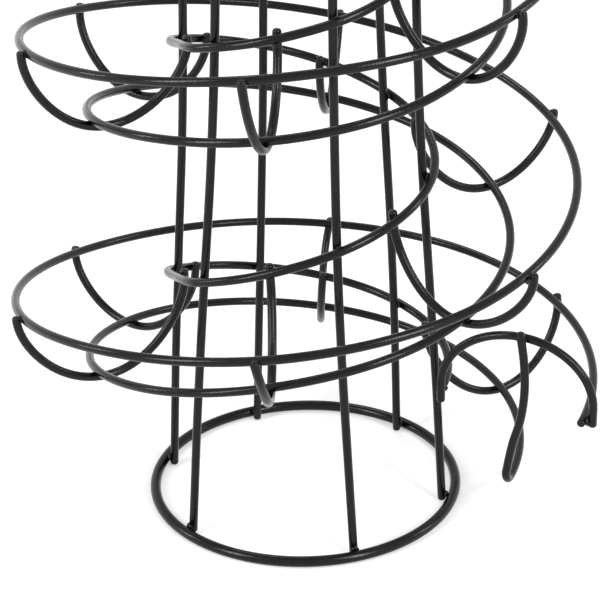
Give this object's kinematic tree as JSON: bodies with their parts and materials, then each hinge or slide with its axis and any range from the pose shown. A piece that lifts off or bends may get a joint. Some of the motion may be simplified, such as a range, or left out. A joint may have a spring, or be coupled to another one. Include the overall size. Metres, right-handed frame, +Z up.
{
  "type": "egg rack",
  "caption": "Spiral wire rack: three rails and U-shaped ribs wind round a column of uprights on a base ring, ending in a gate arch with a stop bar.",
  "frame": {"origin": "middle of the footprint's bounding box, on the floor plane under the base ring", "axes": "+Z up, parallel to the column; -Y towards the front, from which the picture was taken; +X to the viewer's right"},
  "size_m": [0.189, 0.1908, 0.335],
  "materials": {
    "powder_coat": "satin black powder coat on steel wire"
  },
  "bodies": {
    "root": {"base_ring": "powder_coat", "bottom_rail": "powder_coat", "gate_arch": "powder_coat", "inner_rail": "powder_coat", "outer_rail": "powder_coat", "rib_01": "powder_coat", "rib_02": "powder_coat", "rib_03": "powder_coat", "rib_04": "powder_coat", "rib_05": "powder_coat", "rib_06": "powder_coat", "rib_07": "powder_coat", "rib_08": "powder_coat", "rib_09": "powder_coat", "rib_10": "powder_coat", "rib_11": "powder_coat", "rib_12": "powder_coat", "rib_13": "powder_coat", "rib_14": "powder_coat", "rib_15": "powder_coat", "rib_16": "powder_coat", "rib_17": "powder_coat", "rib_18": "powder_coat", "rib_19": "powder_coat", "rib_20": "powder_coat", "rib_21": "powder_coat", "top_ring": "powder_coat", "upright_1": "powder_coat", "upright_2": "powder_coat", "upright_3": "powder_coat", "upright_4": "powder_coat", "upright_5": "powder_coat", "upright_6": "powder_coat"}
  },
  "joints": []
}
